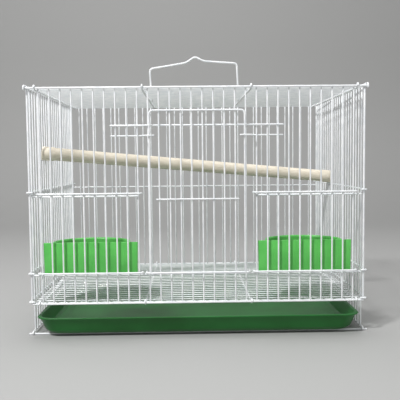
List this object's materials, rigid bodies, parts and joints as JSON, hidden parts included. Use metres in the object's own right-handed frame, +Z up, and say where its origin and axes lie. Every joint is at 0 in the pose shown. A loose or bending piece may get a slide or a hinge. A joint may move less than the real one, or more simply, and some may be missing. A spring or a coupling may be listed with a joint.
{
  "type": "wire bird cage",
  "caption": "Wire breeding cage for small birds with lift-up doors, feeder cups behind the outer doors, a perch, a pull-out tray and a carry handle.",
  "frame": {"origin": "under the middle of the cage, on the surface that it stands on", "axes": "+X to the right seen from the front, +Y from the doors to the back, +Z up"},
  "size_m": [0.388, 0.2794, 0.3315],
  "materials": {
    "wire": "glossy white coating on steel wire",
    "cup": "smooth moulded bright green plastic",
    "tray": "smooth moulded deep green plastic",
    "wood": "bare pale turned wood"
  },
  "bodies": {
    "cage": {"front_wall": "wire", "back_wall": "wire", "left_side_wall": "wire", "right_side_wall": "wire", "roof": "wire", "floor_grate": "wire", "front_foot_rail": "wire", "back_foot_rail": "wire", "perch": "wood"},
    "left_door": {"left_feeder_door": "wire"},
    "right_door": {"right_feeder_door": "wire"},
    "door": {"middle_door": "wire"},
    "left_cup": {"left_feeder_cup": "cup"},
    "right_cup": {"right_feeder_cup": "cup"},
    "tray": {"pull_out_tray": "tray"},
    "handle": {"carry_handle": "wire"}
  },
  "joints": [
    {"name": "left_door_lift", "type": "slide", "parent": "cage", "child": "left_door", "axis": [0, 0, 1], "range_m": [0, 0.06]},
    {"name": "right_door_lift", "type": "slide", "parent": "cage", "child": "right_door", "axis": [0, 0, 1], "range_m": [0, 0.06]},
    {"name": "middle_door_lift", "type": "slide", "parent": "cage", "child": "door", "axis": [0, 0, 1], "range_m": [0, 0.148]},
    {"name": "left_cup_lift", "type": "slide", "parent": "cage", "child": "left_cup", "axis": [0, 0, 1], "range_m": [0, 0.03]},
    {"name": "right_cup_lift", "type": "slide", "parent": "cage", "child": "right_cup", "axis": [0, 0, 1], "range_m": [0, 0.03]},
    {"name": "tray_slide", "type": "slide", "parent": "cage", "child": "tray", "axis": [0, -1, 0], "range_m": [0, 0.25]},
    {"name": "handle_swing", "type": "hinge", "parent": "cage", "child": "handle", "pos_m": [0, 0.00213, 0.2772], "axis": [1, 0, 0], "range_deg": [-88, 60]}
  ]
}
